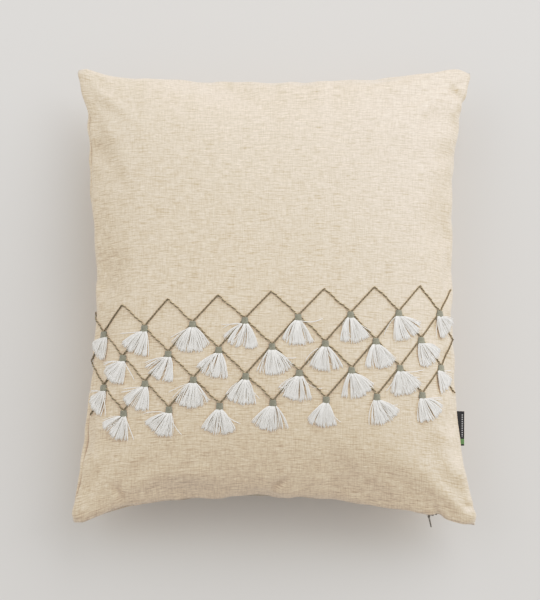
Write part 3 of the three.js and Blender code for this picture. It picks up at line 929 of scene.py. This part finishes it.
def label_material():
    """Black ribbed weave with a green block near its lower end and a row of pale stitches."""
    label = Surface("label_weave", Roughness=0.85, Sheen_Weight=0.05)
    place = label.place()
    rib = label.noise(place, (1200, 1200, 1200), 2.0, 0.5)
    axes = label.node("ShaderNodeSeparateXYZ", {0: place})
    x, y = axes.outputs[0], axes.outputs[1]
    low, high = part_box("side_label")
    in_green = label.within(y, low[1] + 0.0016, low[1] + 0.0075)
    dash = label.between(label.math("FRACT", label.math("DIVIDE", y, 0.0024)), 0.45, 0.55)
    row = label.math("MULTIPLY", label.within(x, high[0] - 0.0030, high[0] - 0.0016),
                     label.within(y, low[1] + 0.0095, high[1] - 0.003))
    black = label.mix(rib, rgb(0.008, 0.008, 0.009), rgb(0.022, 0.022, 0.024))
    green = label.mix(rib, rgb(0.07, 0.17, 0.055), rgb(0.15, 0.28, 0.11))
    stitched_row = label.mix(label.math("MULTIPLY", dash, row), black, rgb(0.45, 0.45, 0.46))
    label.color(label.mix(in_green, stitched_row, green))
    label.bump(rib, 0.0002, 0.5)
    return label.material


# --------------------------------------------------------------------------------------------
# Floor, light and camera
# --------------------------------------------------------------------------------------------
def add_floor(material):
    """A floor of square tiles just under the pillow."""
    steps, half = 24, 4.0
    line = np.linspace(-half, half, steps + 1)
    vertices = [(x, y, -0.0002) for y in line for x in line]
    faces = [(j * (steps + 1) + i, j * (steps + 1) + i + 1, (j + 1) * (steps + 1) + i + 1,
              (j + 1) * (steps + 1) + i) for j in range(steps) for i in range(steps)]
    make_object("floor", vertices, faces, material)


def aimed(obj, place, target):
    """Puts a light or camera at a place, looking at its target."""
    obj.location = place
    obj.rotation_euler = (Vector(target) - Vector(place)).to_track_quat("-Z", "Y").to_euler()
    bpy.context.scene.collection.objects.link(obj)
    return obj


def add_lights():
    """A big soft window beyond the top right corner, a weak fill and pale light all round."""
    for name, place, size, energy, color in (
        ("window", (1.95, 2.1, 1.45), 4.0, 146, (0.99, 0.985, 0.985)),
        ("fill", (-1.9, 1.1, 1.6), 2.8, 26, (1.0, 0.99, 0.98)),
    ):
        light = bpy.data.lights.new(name, "AREA")
        light.size, light.energy, light.color = size, energy, color
        aimed(bpy.data.objects.new(name, light), place, (0, 0, 0.05))
    world = bpy.data.worlds.new("studio")
    world.use_nodes = True
    world.node_tree.nodes["Background"].inputs[0].default_value = (1.0, 0.99, 0.97, 1)
    world.node_tree.nodes["Background"].inputs[1].default_value = 0.64
    bpy.context.scene.world = world


def develop():
    """Plain colours, with a soft shoulder like a camera's so that highlights turn paler."""
    settings = bpy.context.scene.view_settings
    settings.view_transform = "Standard"
    settings.use_curve_mapping = True
    mapping = settings.curve_mapping
    mapping.clip_max_x = mapping.clip_max_y = 2.0
    mapping.extend = "EXTRAPOLATED"
    curve = mapping.curves[3].points
    curve[1].location = (1.35, 0.92)
    for place in ((0.30, 0.30), (0.60, 0.58), (1.00, 0.79)):
        curve.new(*place)
    mapping.update()


def add_camera():
    """Looks down on the pillow, from a little towards its zipped edge."""
    camera = bpy.data.cameras.new("camera")
    camera.sensor_fit, camera.sensor_height = "VERTICAL", 24
    camera.angle_y = math.radians(18.74)
    obj = aimed(bpy.data.objects.new("camera", camera), (0.0, -0.284, 2.0425), (-0.0053, -0.0101, 0.062))
    bpy.context.scene.camera = obj


def build():
    """Everything in the scene, in order."""
    add_camera()
    add_lights()
    develop()
    add_floor(floor_material())
    front, back, flat = cover_panels()
    cloth = Cloth(add_cover(front, back, flat, linen_material()))
    add_insert(front, back, calico_material(), wadding_material())
    sage = thread_material("satin_thread", (0.30, 0.295, 0.225), (0.205, 0.20, 0.15), 700, 0.6, 0.35)
    add_embroidery(cloth, cord_material(), sage)
    white, cream = (1.0, 0.98, 0.93), (0.97, 0.935, 0.875)
    yarn = thread_material("tassel_yarn", white, cream, 500, 0.85, sheen=1.0)
    add_tassels(cloth, yarn)
    add_zip(nylon_material(), tape_material(), metal_material())
    dress("side_label", label_material())


build()
